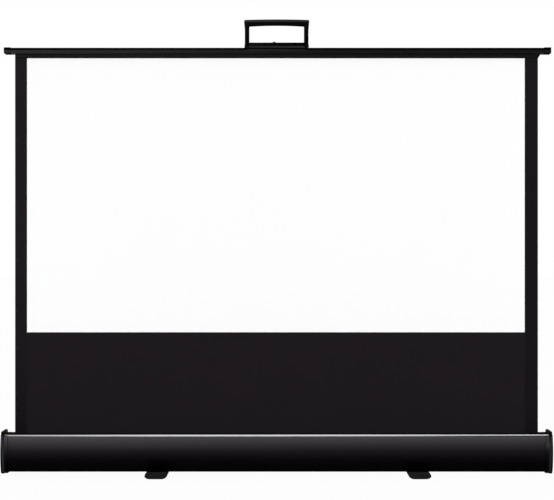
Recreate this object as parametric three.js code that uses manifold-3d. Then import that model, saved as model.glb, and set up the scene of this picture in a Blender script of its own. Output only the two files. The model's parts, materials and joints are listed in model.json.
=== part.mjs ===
// A portable pull-up projection screen that stands on its own casing.
//
// A long black casing lies on two swivel feet and holds a spring roller. The screen fabric comes
// straight up out of the slot in its top to a top bar with a carry handle. Behind the fabric two
// folding arms, meshed at both ends by toothed sectors, carry the top bar and keep it level.
//
// Millimetres. +Z is up, the viewer stands at -Y and +X is to the viewer's right. The origin is
// on the floor below the middle of the fabric, and the front of the fabric lies on Y = 0.

import * as THREE from 'three';
import { mergeVertices } from 'three/addons/utils/BufferGeometryUtils.js';
import Module from 'manifold-3d';

const wasm = await Module();
wasm.setup();

// Clearances
const seatGap = 0.3; // between two pieces that touch, and round a pin in its hole
const runningGap = 0.4; // between two pieces that slide past each other
const cutOverrun = 2; // how far a cutting tool runs past the face it cuts

// Facets
const roundSides = 20; // round a turned piece
const smallRoundSides = 12; // round a pin, a screw or a hole
const bendSteps = 3; // along a small rounded corner
const bulgeSteps = 10; // along the curved front of the casing
const nutSides = 6;
const wireSides = 5; // round a spring's wire
const coilSteps = 8; // along each turn of a spring

// Fabric: a white picture area with black borders, and a black drop below it
const pictureHeight = 560;
const dropHeight = 206;
const fabricWidth = 1066;
const fabricThickness = 0.8;

// Feet
const footHeight = 9.8;
const footLength = 184;
const footTopWidth = 42.4;
const footWidestWidth = 45;
const footWidestHeight = 5;
const footSoleWidth = 24;
const footSoleHeight = 0.6;
const footEdgeBulge = 1.2; // of the rounding between the sole and the widest part
const footEndRadius = 7;
const leftFootX = -243;
const rightFootX = 288;
const padLength = 30;
const padWidth = 20;
const padSink = 1.4; // how deep the pad's pocket goes into the sole
const padEndInset = 8;
const footBoltRadius = 4;
const footBoltHeadRadius = 8;
const footBoltHeadHeight = 3;
const footBoltHeadRise = 1.5; // how far the head stays above the sole
const footNutRadius = 7;
const footNutHeight = 4;

// Casing: a front shell with a curved front and a rear channel, both extruded
const casingOverhang = 19; // past the fabric's edge at each end
const casingHeight = 75.8;
const casingWall = 2.5;
const casingFrontY = -36; // where the curved front meets the top
const casingFrontBulge = 10;
const casingRearY = 38;
const casingToeInset = 4; // how far the front's lower end lies behind its upper end
const casingSplitY = 4;
const slotFrontY = -6;
const slotRearY = 29;
const casingCorner = 4;
const portRadius = 4;
const portBore = 1.6;

// Bright strip let into the upper front edge of the casing
const trimWidth = 4.4;
const trimThickness = 1;

// End caps of the casing
const capThickness = 5.8;
const capLip = 3.6; // how far the outer flange stands out past the casing
const capRise = 5.4; // how far the flange stands above the casing, to carry the closed top bar
const capCrestInset = 0.6; // of that raised part from the flange's inner side
const capPlateThickness = 0.8; // of the raised plate on the flange's outer side
const capPlateInset = 1.2; // from the flange's edge
const collarLength = 7.2;
const collarWall = 2.4;
const capBossRadius = 9;
const capBossLength = 11;
const capScrewRadius = 1.5;
const capScrewHeadRadius = 3.2;
const capScrewHeadHeight = 1.8;
const capScrewLength = 18;

// Roller
const rollerHeight = 48;
const tubeRadius = 14;
const tubeWall = 1.5;
const tubeOverhang = 2; // past the fabric's edge at each end
const woundRadius = 16;
const plugFlange = 2;
const plugDepth = 24;
const shaftRadius = 3.5;
const springShaftLength = 216;
const idlePinLength = 40;
const springCoilRadius = 7.5;
const springWire = 2;
const springTurns = 16;
const springCollarRadius = 9;
const springCollarLength = 8;
const carrierLength = 12;

// Top bar
const barOverhang = 24.2; // past the fabric's edge at each end
const barShift = 1.7; // of the bar and its caps to the right of the fabric's middle
const barHeight = 11.2;
const barFrontY = -11;
const barRearY = 31;
const barWall = 1.8;
const barCorner = 2;
const barCapLength = 14;
const barCapRise = 0.9;
const barCapLip = 1;
const barCapSpigot = 12;
const clampDrop = 8.4;
const clampThickness = 2.8;
const clampFabricGap = 0.3;

// Carry handle and its base
const handleWidth = 130;
const handleHeight = 59;
const handleLegWidth = 9.2;
const handleGripHeight = 14.3; // at the legs
const handleDepth = 8.4;
const handleArch = 1; // of the grip's top
const handleUnderArch = 1.7; // of the grip's underside
const handleFlare = 1.6; // how far each upper corner stands out past its leg
const handleFlareHeight = 22; // below the top, where the flare starts
const handleCorner = 3;
const handleInnerCorner = 1.5;
const handleY = 8;
const handleLegGap = 0.4; // under the rounded end of each leg
const baseSideGap = 0.4; // between each leg and the base
const baseHeight = 11.3;
const baseDepth = 20;
const baseFlangeHeight = 4.6; // of the deeper lower part
const baseFlangeDepth = 23;
const baseCorner = 1.5;
const baseLip = 0.9; // of its front wall past the gap, in front of each leg
const handlePinRadius = 2.2;
const handlePinLength = 22;
const handlePinHeadRadius = 3.4;
const handlePinHead = 0.5;
const buttonX = -5;
const buttonRadius = 3;
const buttonRise = 2;
const buttonCollarRadius = 4.6;
const buttonCollarHeight = 1.5;
const buttonRoofHeight = 3.2;
const buttonSpringRadius = 3.4;
const buttonSpringWire = 0.6;
const buttonSpringTurns = 4;

// Folding arms behind the fabric
const erectAngle = THREE.MathUtils.degToRad(75);
const armWidth = 16;
const armThickness = 4;
const armFrontY = 8;
const armLayerGap = 1.2;
const armPinRadius = 4;
const armPinHeadRadius = 6;
const armPinHead = 2.4;
const gearPitchRadius = 14;
const gearTeethRound = 16; // of the whole gear that each sector is cut from
const gearSectorTeeth = 6;
const gearBacklash = 0.35;
const gearPressureAngle = THREE.MathUtils.degToRad(20);
const addendumShare = 0.9; // of the gear's module
const dedendumShare = 1.25; // of the gear's module
const gearFloorGap = 0.6;
const washerThickness = 0.6;
const washerRadius = 8;

// Brackets that carry the arms' inner ends
const bracketWidth = 60;
const bracketThickness = 4;
const bracketY = 20.2;
const bracketFlangeLength = 88;
const bracketFlangeThickness = 3;
const bracketFlangeDepth = 8;
const bracketBossRadius = 7;
const bracketMargin = 8; // of the plate beyond the pins' axis
const bracketScrewX = 37;
const bracketScrewRadius = 2;
const bracketScrewHeadRadius = 3.4;
const bracketScrewHead = 2;

// Heights that follow from the sizes above
const casingBottom = footHeight + runningGap;
const casingTop = casingBottom + casingHeight;
const casingFloor = casingBottom + casingWall;
const clampBottom = casingTop + dropHeight + pictureHeight;
const barBottom = clampBottom + clampDrop;

// Lengths and places that the casing, its ends, the roller and the top bar share
const casingLength = fabricWidth + 2 * casingOverhang;
const barLength = fabricWidth + 2 * barOverhang;
const baseWidth = handleWidth - 2 * (handleLegWidth + baseSideGap);
const rollerY = -woundRadius - seatGap;
const capInnerX = casingLength / 2 + seatGap;
const capOuterX = capInnerX + capThickness;
const portInset = casingWall + portRadius / 2;
const ports = {
  front: [casingFrontY + casingToeInset + portInset + casingCorner / 2, casingBottom + portInset],
  rear: [casingRearY - portInset, casingBottom + casingHeight / 2],
};
const tubeHalf = fabricWidth / 2 + tubeOverhang;

// Sizes that the arms, gears and brackets share
const gearModule = (2 * gearPitchRadius) / gearTeethRound;
const gearTip = gearPitchRadius + addendumShare * gearModule;
const gearRoot = gearPitchRadius - dedendumShare * gearModule;
const gearBase = gearPitchRadius * Math.cos(gearPressureAngle);
const lowerBracketBottom = casingFloor + seatGap;
const lowerPivotZ = lowerBracketBottom + bracketFlangeThickness + gearTip + gearFloorGap;
const upperPivotZ = barBottom - seatGap - gearTip - gearFloorGap;
const armLength = (upperPivotZ - lowerPivotZ) / 2 / Math.sin(erectAngle);
const kneeX = gearPitchRadius + armLength * Math.cos(erectAngle);
const kneeZ = (lowerPivotZ + upperPivotZ) / 2;
const lowerLayer = { front: armFrontY, back: armFrontY + armThickness };
const upperLayer = {
  front: lowerLayer.back + armLayerGap,
  back: lowerLayer.back + armLayerGap + armThickness,
};
const bracketBackY = bracketY + bracketThickness;
const bracketScrewY = bracketY + bracketFlangeDepth / 2;

// Materials
const finish = (color, roughness, metalness) =>
  new THREE.MeshStandardMaterial({ color, roughness, metalness });
const blackGloss = finish(0x141315, 0.28, 0.1);
const blackSatin = finish(0x1d1c1e, 0.45, 0.2);
const blackPlastic = finish(0x19181a, 0.6, 0);
const blackFabric = finish(0x1e1c1e, 0.9, 0);
const whiteFabric = finish(0xfafafa, 0.85, 0);
const satinAluminium = finish(0xc8c6c9, 0.3, 1);
const blackOxide = finish(0x3f3f42, 0.45, 0.8);
const zincSteel = finish(0x9a9b9e, 0.4, 1);
const springSteel = finish(0x77787a, 0.35, 1);
const nylon = finish(0xd9d6cc, 0.55, 0);
const rubber = finish(0x202020, 0.9, 0);

const axisX = new THREE.Vector3(1, 0, 0);
const axisY = new THREE.Vector3(0, 1, 0);
const axisZ = new THREE.Vector3(0, 0, 1);
const quarterTurn = Math.PI / 2;

// Solids that join and cut each other

function solidOf(geometry) {
  const bare = geometry.clone();
  bare.deleteAttribute('normal');
  bare.deleteAttribute('uv');
  const merged = mergeVertices(bare);
  const mesh = new wasm.Mesh({
    numProp: 3,
    vertProperties: merged.attributes.position.array,
    triVerts: new Uint32Array(merged.index.array),
  });
  return new wasm.Manifold(mesh);
}

function geometryOf(solid) {
  const mesh = solid.getMesh();
  const geometry = new THREE.BufferGeometry();
  geometry.setAttribute('position', new THREE.BufferAttribute(mesh.vertProperties, mesh.numProp));
  geometry.setIndex(new THREE.BufferAttribute(mesh.triVerts, 1));
  return geometry;
}

function joined(...geometries) {
  return geometryOf(geometries.map(solidOf).reduce((whole, piece) => whole.add(piece)));
}

function cut(geometry, ...tools) {
  return geometryOf(tools.map(solidOf).reduce((left, tool) => left.subtract(tool), solidOf(geometry)));
}

function common(first, second) {
  return geometryOf(solidOf(first).intersect(solidOf(second)));
}

// Extrusions: an outline is a list of points, and each hole in it is another one

function extruded(outline, holes, depth) {
  const shape = new THREE.Shape(outline.map(([u, v]) => new THREE.Vector2(u, v)));
  for (const hole of holes) {
    shape.holes.push(new THREE.Path(hole.map(([u, v]) => new THREE.Vector2(u, v))));
  }
  return new THREE.ExtrudeGeometry(shape, { depth, bevelEnabled: false });
}

// The outline lies in Y and Z
function alongX(outline, from, to, holes = []) {
  const geometry = extruded(outline, holes, Math.abs(to - from));
  geometry.applyMatrix4(new THREE.Matrix4().makeBasis(axisY, axisZ, axisX));
  return geometry.translate(Math.min(from, to), 0, 0);
}

// The outline lies in X and Z
function alongY(outline, from, to, holes = []) {
  const geometry = extruded(outline, holes, Math.abs(to - from));
  return geometry.rotateX(quarterTurn).translate(0, Math.max(from, to), 0);
}

// The outline lies in X and Y
function alongZ(outline, from, to, holes = []) {
  return extruded(outline, holes, Math.abs(to - from)).translate(0, 0, Math.min(from, to));
}

function block(lowX, highX, lowY, highY, lowZ, highZ) {
  const geometry = new THREE.BoxGeometry(highX - lowX, highY - lowY, highZ - lowZ);
  return geometry.translate((lowX + highX) / 2, (lowY + highY) / 2, (lowZ + highZ) / 2);
}

// Turned pieces: the profile is a list of [radius, place along the axis], going up the outside

function turned(profile, axis, sides = roundSides) {
  const geometry = new THREE.LatheGeometry(profile.map(([r, s]) => new THREE.Vector2(r, s)), sides);
  if (axis === axisX) {
    geometry.rotateZ(-quarterTurn);
  }
  if (axis === axisZ) {
    geometry.rotateX(quarterTurn);
  }
  return geometry;
}

function rod(radius, from, to, axis, sides = roundSides) {
  const low = Math.min(from, to);
  const high = Math.max(from, to);
  return turned([[0, low], [radius, low], [radius, high], [0, high]], axis, sides);
}

function tube(inner, outer, from, to, axis, sides = roundSides) {
  const low = Math.min(from, to);
  const high = Math.max(from, to);
  const profile = [[inner, low], [outer, low], [outer, high], [inner, high], [inner, low]];
  return turned(profile, axis, sides);
}

// A headed pin or screw: its head lies before `from` and its shank runs on to `to`
function headed(radius, headRadius, headHeight, from, to, axis) {
  const sign = Math.sign(to - from);
  const profile = [
    [0, from - sign * headHeight],
    [headRadius, from - sign * headHeight],
    [headRadius, from],
    [radius, from],
    [radius, to],
    [0, to],
  ];
  return turned(sign > 0 ? profile : profile.reverse(), axis, smallRoundSides);
}

// Outlines

// Points on the arc from one point to another that bulges out to the right by a given height
function bulgePoints([startU, startV], [endU, endV], bulge, steps) {
  const chord = Math.hypot(endU - startU, endV - startV);
  const radius = (chord * chord / 4 + bulge * bulge) / (2 * bulge);
  const halfAngle = Math.asin(chord / 2 / radius);
  const alongU = (endU - startU) / chord;
  const alongV = (endV - startV) / chord;
  return Array.from({ length: steps + 1 }, (_, step) => {
    const angle = halfAngle * (2 * step / steps - 1);
    const along = chord / 2 + radius * Math.sin(angle);
    const out = radius * Math.cos(angle) - (radius - bulge);
    return [startU + alongU * along + alongV * out, startV + alongV * along - alongU * out];
  });
}

function arcPoints([centreU, centreV], radius, fromAngle, toAngle, steps) {
  return Array.from({ length: steps + 1 }, (_, step) => {
    const angle = fromAngle + (toAngle - fromAngle) * step / steps;
    return [centreU + radius * Math.cos(angle), centreV + radius * Math.sin(angle)];
  });
}

function circle(centre, radius, steps = smallRoundSides) {
  return arcPoints(centre, radius, 0, 2 * Math.PI, steps).slice(1);
}

function roundedRectangle(lowU, highU, lowV, highV, radius) {
  const corners = [
    [[highU - radius, lowV + radius], -quarterTurn],
    [[highU - radius, highV - radius], 0],
    [[lowU + radius, highV - radius], quarterTurn],
    [[lowU + radius, lowV + radius], 2 * quarterTurn],
  ];
  return corners.flatMap(([centre, angle]) =>
    arcPoints(centre, radius, angle, angle + quarterTurn, bendSteps));
}

// An open or closed path moved to its left by a distance, with mitred corners
function movedLeft(path, distance, closed = false) {
  const count = path.length;
  const direction = (index) => {
    const [fromU, fromV] = path[(index + count) % count];
    const [toU, toV] = path[(index + 1) % count];
    const length = Math.hypot(toU - fromU, toV - fromV);
    return [(toU - fromU) / length, (toV - fromV) / length];
  };
  return path.map(([u, v], index) => {
    const before = direction(closed || index > 0 ? index - 1 : index);
    const after = direction(closed || index < count - 1 ? index : index - 1);
    const sumU = before[0] + after[0];
    const sumV = before[1] + after[1];
    const reach = distance * 2 / (sumU * sumU + sumV * sumV);
    return [u - sumV * reach, v + sumU * reach];
  });
}

// The outline of a sheet of even thickness that lies to the left of a path
function sheetOutline(path, thickness) {
  return [...path, ...movedLeft(path, thickness).reverse()];
}

// The object: each piece is a named mesh

const group = new THREE.Group();

function add(parent, name, geometry, material) {
  const mesh = new THREE.Mesh(geometry, material);
  mesh.name = name;
  parent.add(mesh);
  return mesh;
}

function assembly(x, y, z) {
  const whole = new THREE.Group();
  whole.position.set(x, y, z);
  group.add(whole);
  return whole;
}

const sides = [['left', -1], ['right', 1]];

// Casing

const chamferSize = (trimWidth + 2 * seatGap) * Math.SQRT1_2; // across the slanting seat of the trim
const toe = [casingFrontY + casingToeInset, casingBottom];
const brow = [casingFrontY, casingTop - chamferSize];
const frontCurve = bulgePoints(brow, toe, casingFrontBulge, bulgeSteps);
const frontPath = [
  [slotFrontY, casingTop],
  [casingFrontY + chamferSize, casingTop],
  ...frontCurve.slice(0, -1),
  [toe[0] + casingCorner / 2, casingBottom],
  [casingSplitY - seatGap / 2, casingBottom],
];
const rearPath = [
  [casingSplitY + seatGap / 2, casingBottom],
  [casingRearY - casingCorner, casingBottom],
  [casingRearY, casingBottom + casingCorner],
  [casingRearY, casingTop - casingCorner],
  [casingRearY - casingCorner, casingTop],
  [slotRearY, casingTop],
];
const casingOutline = [...frontPath, ...rearPath];

// The outer face of the trim runs along the slant between the top and the front, clear of both
const trimEndGap = seatGap * Math.SQRT1_2;
const trimPath = [
  [casingFrontY + chamferSize - trimEndGap, casingTop - trimEndGap],
  [casingFrontY + trimEndGap, casingTop - chamferSize + trimEndGap],
];
const trimSeatPath = frontPath.slice(1, 3);

// A shell of the casing with a screw port along its whole length, and its holes cut out
function casingShell(path, [portY, portZ], holes) {
  const half = casingLength / 2;
  const shell = alongX(sheetOutline(path, casingWall), -half, half);
  const port = rod(portRadius, -half, half, axisX, smallRoundSides).translate(0, portY, portZ);
  const bore = rod(portBore, -half - cutOverrun, half + cutOverrun, axisX, smallRoundSides)
    .translate(0, portY, portZ);
  return cut(joined(shell, port), bore, ...holes);
}

function makeCasing() {
  const boltHoles = [leftFootX, rightFootX].map((x) =>
    rod(footBoltRadius + seatGap, casingBottom - cutOverrun, casingFloor + cutOverrun, axisZ)
      .translate(x, 0, 0));
  const trimSeat = alongX(
    [
      ...movedLeft(trimSeatPath, -cutOverrun),
      ...movedLeft(trimSeatPath, trimThickness + seatGap).reverse(),
    ],
    -casingLength / 2 - cutOverrun,
    casingLength / 2 + cutOverrun,
  );
  const shell = casingShell(frontPath, ports.front, [...boltHoles, trimSeat]);
  add(group, 'casing_front_shell', shell, blackGloss);
  const screwHoles = sides.map(([, side]) =>
    rod(bracketScrewRadius + seatGap, casingBottom - cutOverrun, casingFloor + cutOverrun, axisZ)
      .translate(side * bracketScrewX, bracketScrewY, 0));
  add(group, 'casing_rear_channel', casingShell(rearPath, ports.rear, screwHoles), blackSatin);
}

function makeTrim() {
  const half = casingLength / 2;
  add(group, 'slot_trim', alongX(sheetOutline(trimPath, trimThickness), -half, half), satinAluminium);
}

function makeEndCap(name, side) {
  const inner = side * (capInnerX - collarLength);
  const seat = side * capInnerX;
  const outer = side * capOuterX;
  const plateFace = outer + side * capPlateThickness;
  const screwSeat = outer - side * (capScrewHeadHeight + 2 * seatGap);
  const flange = alongX(movedLeft(casingOutline, -capLip, true), seat, outer);
  const collar = alongX(movedLeft(casingOutline, -collarWall - seatGap, true), inner, seat);
  const crestTop = casingTop + capRise;
  const crestOutline = [
    [casingFrontY - capLip, casingTop - chamferSize],
    [casingRearY + capLip, casingTop - casingCorner],
    [casingRearY + capLip, crestTop],
    [casingFrontY, crestTop],
  ];
  const crest = alongX(crestOutline, seat + side * capCrestInset, outer);
  const boss = rod(capBossRadius, side * (capInnerX - capBossLength), outer, axisX)
    .translate(0, rollerY, rollerHeight);
  const plateOutline = movedLeft(
    [...frontPath.slice(2), ...rearPath.slice(0, -2)],
    capPlateInset - capLip,
    true,
  );
  const plate = alongX(plateOutline, outer - side * cutOverrun, plateFace);
  const body = joined(flange, collar, crest, plate, boss);

  const socket = alongX(movedLeft(casingOutline, -seatGap, true), inner - side * cutOverrun, seat);
  const bossEnd = side * (capInnerX - capBossLength - cutOverrun);
  const bossInSocket = rod(capBossRadius, bossEnd, seat, axisX).translate(0, rollerY, rollerHeight);
  const topSpace = block(
    Math.min(inner - side * cutOverrun, seat),
    Math.max(inner - side * cutOverrun, seat),
    casingFrontY - capLip,
    casingRearY + capLip,
    casingTop,
    crestTop,
  );
  const trimSpace = alongX(
    [
      ...movedLeft(trimSeatPath, -collarWall - capLip),
      ...movedLeft(trimSeatPath, seatGap).reverse(),
    ],
    inner - side * cutOverrun,
    seat,
  );
  const pivotHole = rod(shaftRadius + seatGap, inner - side * capBossLength, seat, axisX)
    .translate(0, rollerY, rollerHeight);
  const cutStart = seat - side * cutOverrun;
  const cutEnd = plateFace + side * cutOverrun;
  const screwHoles = Object.values(ports).map(([y, z]) =>
    rod(capScrewRadius + seatGap, cutStart, cutEnd, axisX, smallRoundSides).translate(0, y, z));
  const headSpaces = Object.values(ports).map(([y, z]) =>
    rod(capScrewHeadRadius + seatGap, screwSeat, cutEnd, axisX, smallRoundSides).translate(0, y, z));
  const hollow = cut(socket, bossInSocket);
  const holes = [pivotHole, ...screwHoles, ...headSpaces];
  const cap = cut(body, hollow, topSpace, trimSpace, ...holes);
  add(group, `${name}_end_cap`, cap, blackSatin);

  for (const [place, [y, z]] of Object.entries(ports)) {
    const start = screwSeat + side * seatGap;
    const end = screwSeat - side * capScrewLength;
    const screw = headed(capScrewRadius, capScrewHeadRadius, capScrewHeadHeight, start, end, axisX);
    add(group, `${name}_cap_${place}_screw`, screw.translate(0, y, z), zincSteel);
  }
}

// Roller

class Helix extends THREE.Curve {
  constructor(radius, length, turns) {
    super();
    this.radius = radius;
    this.length = length;
    this.turns = turns;
  }

  getPoint(share, target = new THREE.Vector3()) {
    const angle = share * this.turns * 2 * Math.PI;
    return target.set(
      this.radius * Math.cos(angle),
      this.radius * Math.sin(angle),
      this.length * share,
    );
  }
}

function coil(radius, wire, length, turns) {
  const wireOutline = circle([0, 0], wire / 2, wireSides).map(([u, v]) => new THREE.Vector2(u, v));
  return new THREE.ExtrudeGeometry(new THREE.Shape(wireOutline), {
    steps: turns * coilSteps,
    extrudePath: new Helix(radius, length, turns),
    bevelEnabled: false,
  });
}

function plugProfile(side, bore) {
  const seat = side * (tubeHalf + seatGap);
  const spigotRadius = tubeRadius - tubeWall - seatGap;
  const profile = [
    [bore, side * (tubeHalf - plugDepth)],
    [spigotRadius, side * (tubeHalf - plugDepth)],
    [spigotRadius, seat],
    [tubeRadius, seat],
    [tubeRadius, seat + side * plugFlange],
    [bore, seat + side * plugFlange],
    [bore, side * (tubeHalf - plugDepth)],
  ];
  return side > 0 ? profile : profile.reverse();
}

function makeRoller() {
  const roller = assembly(0, rollerY, rollerHeight);
  const inner = tubeRadius - tubeWall;
  add(roller, 'roller_tube', tube(inner, tubeRadius, -tubeHalf, tubeHalf, axisX), satinAluminium);
  const wound = tube(tubeRadius + seatGap, woundRadius, -fabricWidth / 2, fabricWidth / 2, axisX);
  add(roller, 'wound_fabric', wound, blackFabric);
  const bore = shaftRadius + seatGap;
  add(roller, 'roller_spring_plug', turned(plugProfile(-1, bore), axisX), nylon);
  add(roller, 'roller_idle_plug', turned(plugProfile(1, bore), axisX), nylon);

  const shaftStart = -capInnerX + seatGap;
  const shaftEnd = shaftStart + springShaftLength;
  add(roller, 'spring_shaft', rod(shaftRadius, shaftStart, shaftEnd, axisX), zincSteel);
  const pin = rod(shaftRadius, capInnerX - seatGap - idlePinLength, capInnerX - seatGap, axisX);
  add(roller, 'idle_pin', pin, zincSteel);

  const collarStart = -tubeHalf + plugDepth + runningGap;
  const collarEnd = collarStart + springCollarLength;
  add(roller, 'spring_collar', tube(bore, springCollarRadius, collarStart, collarEnd, axisX), zincSteel);
  const carrierStart = shaftEnd - carrierLength / 2;
  const carrier = tube(bore, inner - seatGap, carrierStart, carrierStart + carrierLength, axisX);
  add(roller, 'spring_carrier', carrier, nylon);
  const springStart = collarEnd + seatGap + springWire / 2;
  const springLength = carrierStart - seatGap - springWire / 2 - springStart;
  const spring = coil(springCoilRadius, springWire, springLength, springTurns);
  add(roller, 'roller_spring', spring.rotateY(quarterTurn).translate(springStart, 0, 0), springSteel);
}

// Fabric

function makeFabric() {
  const half = fabricWidth / 2;
  const sheet = block(-half, half, 0, fabricThickness, rollerHeight, barBottom - seatGap);
  add(group, 'screen_fabric', sheet, whiteFabric);
}

// Top bar

function makeTopBar() {
  const bar = assembly(0, 0, barBottom);
  const half = barLength / 2 - barCapLength;
  const outline = roundedRectangle(barFrontY, barRearY, 0, barHeight, barCorner);
  const hollow = roundedRectangle(
    barFrontY + barWall,
    barRearY - barWall,
    barWall,
    barHeight - barWall,
    barCorner / 2,
  );
  const screwHoles = sides.map(([, side]) =>
    rod(bracketScrewRadius + seatGap, -cutOverrun, barWall + cutOverrun, axisZ)
      .translate(side * bracketScrewX, bracketScrewY, 0));
  const hollowBar = alongX(outline, barShift - half, barShift + half, [hollow]);
  add(bar, 'top_bar', cut(hollowBar, ...screwHoles), blackSatin);

  const capOutline = roundedRectangle(
    barFrontY - barCapLip,
    barRearY + barCapLip,
    0,
    barHeight + barCapRise,
    barCorner,
  );
  const spigotOutline = movedLeft(hollow, seatGap, true);
  for (const [name, side] of sides) {
    const barEnd = barShift + side * half;
    const seat = barEnd + side * seatGap;
    const head = alongX(capOutline, seat, barShift + side * barLength / 2);
    const spigot = alongX(spigotOutline, barEnd - side * barCapSpigot, seat + side * seatGap);
    add(bar, `top_bar_${name}_cap`, joined(head, spigot), blackPlastic);
  }

  const clampBack = -clampFabricGap;
  const clamp = block(
    -fabricWidth / 2,
    fabricWidth / 2,
    clampBack - clampThickness,
    clampBack,
    -clampDrop,
    -seatGap,
  );
  add(bar, 'fabric_clamp', clamp, blackSatin);
}

// Carry handle

const legCentreX = (handleWidth - handleLegWidth) / 2;
const handlePivotRise = handleLegGap + handleDepth / 2;

function makeHandle() {
  const handle = assembly(0, handleY, barBottom + barHeight);
  const half = handleWidth / 2;
  const innerHalf = half - handleLegWidth;
  const gripBottom = handleHeight - handleGripHeight;
  const shoulder = handleHeight - handleArch;
  const archHalf = innerHalf - handleInnerCorner;
  const topHalf = half + handleFlare - handleCorner;
  const flareZ = handleHeight - handleFlareHeight;
  const outline = [
    [-half, flareZ],
    [-half, handleLegGap],
    [-innerHalf, handleLegGap],
    ...arcPoints(
      [-archHalf, gripBottom - handleInnerCorner],
      handleInnerCorner, Math.PI, quarterTurn, bendSteps),
    ...bulgePoints([archHalf, gripBottom], [-archHalf, gripBottom], handleUnderArch, bulgeSteps)
      .reverse().slice(1, -1),
    ...arcPoints([archHalf, gripBottom - handleInnerCorner], handleInnerCorner, quarterTurn, 0, bendSteps),
    [innerHalf, handleLegGap],
    [half, handleLegGap],
    [half, flareZ],
    ...arcPoints([topHalf, shoulder - handleCorner], handleCorner, 0, quarterTurn, bendSteps),
    ...bulgePoints([topHalf, shoulder], [-topHalf, shoulder], handleArch, bulgeSteps).slice(1, -1),
    ...arcPoints([-topHalf, shoulder - handleCorner], handleCorner, quarterTurn, Math.PI, bendSteps),
  ];
  const sideOutline = [
    ...arcPoints([0, handlePivotRise], handleDepth / 2, Math.PI, 2 * Math.PI, roundSides / 2),
    [handleDepth / 2, handleHeight + cutOverrun],
    [-handleDepth / 2, handleHeight + cutOverrun],
  ];
  const front = alongY(outline, -handleDepth, handleDepth);
  const reach = half + handleFlare + cutOverrun;
  const side = alongX(sideOutline, -reach, reach);
  const holeHalf = half + cutOverrun;
  const pinHole = rod(handlePinRadius + seatGap, -holeHalf, holeHalf, axisX, smallRoundSides)
    .translate(0, 0, handlePivotRise);
  add(handle, 'carry_handle', cut(common(front, side), pinHole), blackPlastic);

  const chamberTop = baseHeight - buttonRoofHeight;
  const baseOutline = (half, height) => roundedRectangle(-half, half, seatGap, height, baseCorner);
  const baseStep = (height, depth) =>
    alongY(baseOutline(baseWidth / 2, height), -depth / 2, depth / 2);
  const frontWall = alongY(
    baseOutline(baseWidth / 2 + baseSideGap + baseLip, baseHeight),
    -baseDepth / 2,
    -handleDepth / 2 - runningGap,
  );
  const base = joined(
    baseStep(baseHeight, baseDepth),
    baseStep(baseFlangeHeight, baseFlangeDepth),
    frontWall,
  );
  const chamber = rod(buttonCollarRadius + runningGap, -cutOverrun, chamberTop, axisZ)
    .translate(buttonX, 0, 0);
  const buttonHole = rod(buttonRadius + runningGap, chamberTop - cutOverrun, baseHeight + cutOverrun, axisZ)
    .translate(buttonX, 0, 0);
  const pinBores = sides.map(([, sign]) =>
    rod(
      handlePinRadius + seatGap,
      sign * (half - handlePinLength - seatGap),
      sign * (half + cutOverrun),
      axisX,
      smallRoundSides,
    ).translate(0, 0, handlePivotRise));
  add(handle, 'handle_base', cut(base, chamber, buttonHole, ...pinBores), blackPlastic);

  for (const [name, sign] of sides) {
    const start = sign * (half + seatGap);
    const end = sign * (half - handlePinLength);
    const pin = headed(handlePinRadius, handlePinHeadRadius, handlePinHead, start, end, axisX);
    add(handle, `handle_${name}_pin`, pin.translate(0, 0, handlePivotRise), zincSteel);
  }

  const collarTop = chamberTop - seatGap;
  const collarBottom = collarTop - buttonCollarHeight;
  const button = turned([
    [0, collarBottom],
    [buttonCollarRadius, collarBottom],
    [buttonCollarRadius, collarTop],
    [buttonRadius, collarTop],
    [buttonRadius, baseHeight + buttonRise],
    [0, baseHeight + buttonRise],
  ], axisZ);
  add(handle, 'latch_button', button.translate(buttonX, 0, 0), blackPlastic);
  const springBottom = seatGap + buttonSpringWire / 2;
  const springLength = collarBottom - seatGap - buttonSpringWire / 2 - springBottom;
  const spring = coil(buttonSpringRadius, buttonSpringWire, springLength, buttonSpringTurns);
  add(handle, 'button_spring', spring.translate(buttonX, 0, springBottom), springSteel);
}

// Folding arms

// Half the angle that a tooth covers at a radius: an involute above the base circle
function toothHalfAngle(radius) {
  const involute = (angle) => Math.tan(angle) - angle;
  const width = Math.PI * gearModule / 2 - gearBacklash;
  const atBase = width / 2 / gearPitchRadius + involute(gearPressureAngle);
  return radius > gearBase ? atBase - involute(Math.acos(gearBase / radius)) : atBase;
}

function toothPoints(centreAngle) {
  const flankShares = [0, 0.3, 0.65, 1]; // of the way from the base circle to the tip
  const radii = [gearRoot, ...flankShares.map((share) => gearBase + (gearTip - gearBase) * share)];
  const flank = radii.map((radius) => [radius, toothHalfAngle(radius)]);
  const rising = flank.map(([radius, half]) => [radius, centreAngle - half]);
  const falling = flank.map(([radius, half]) => [radius, centreAngle + half]).reverse();
  return [...rising, ...falling].map(([radius, angle]) =>
    [radius * Math.cos(angle), radius * Math.sin(angle)]);
}

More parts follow.
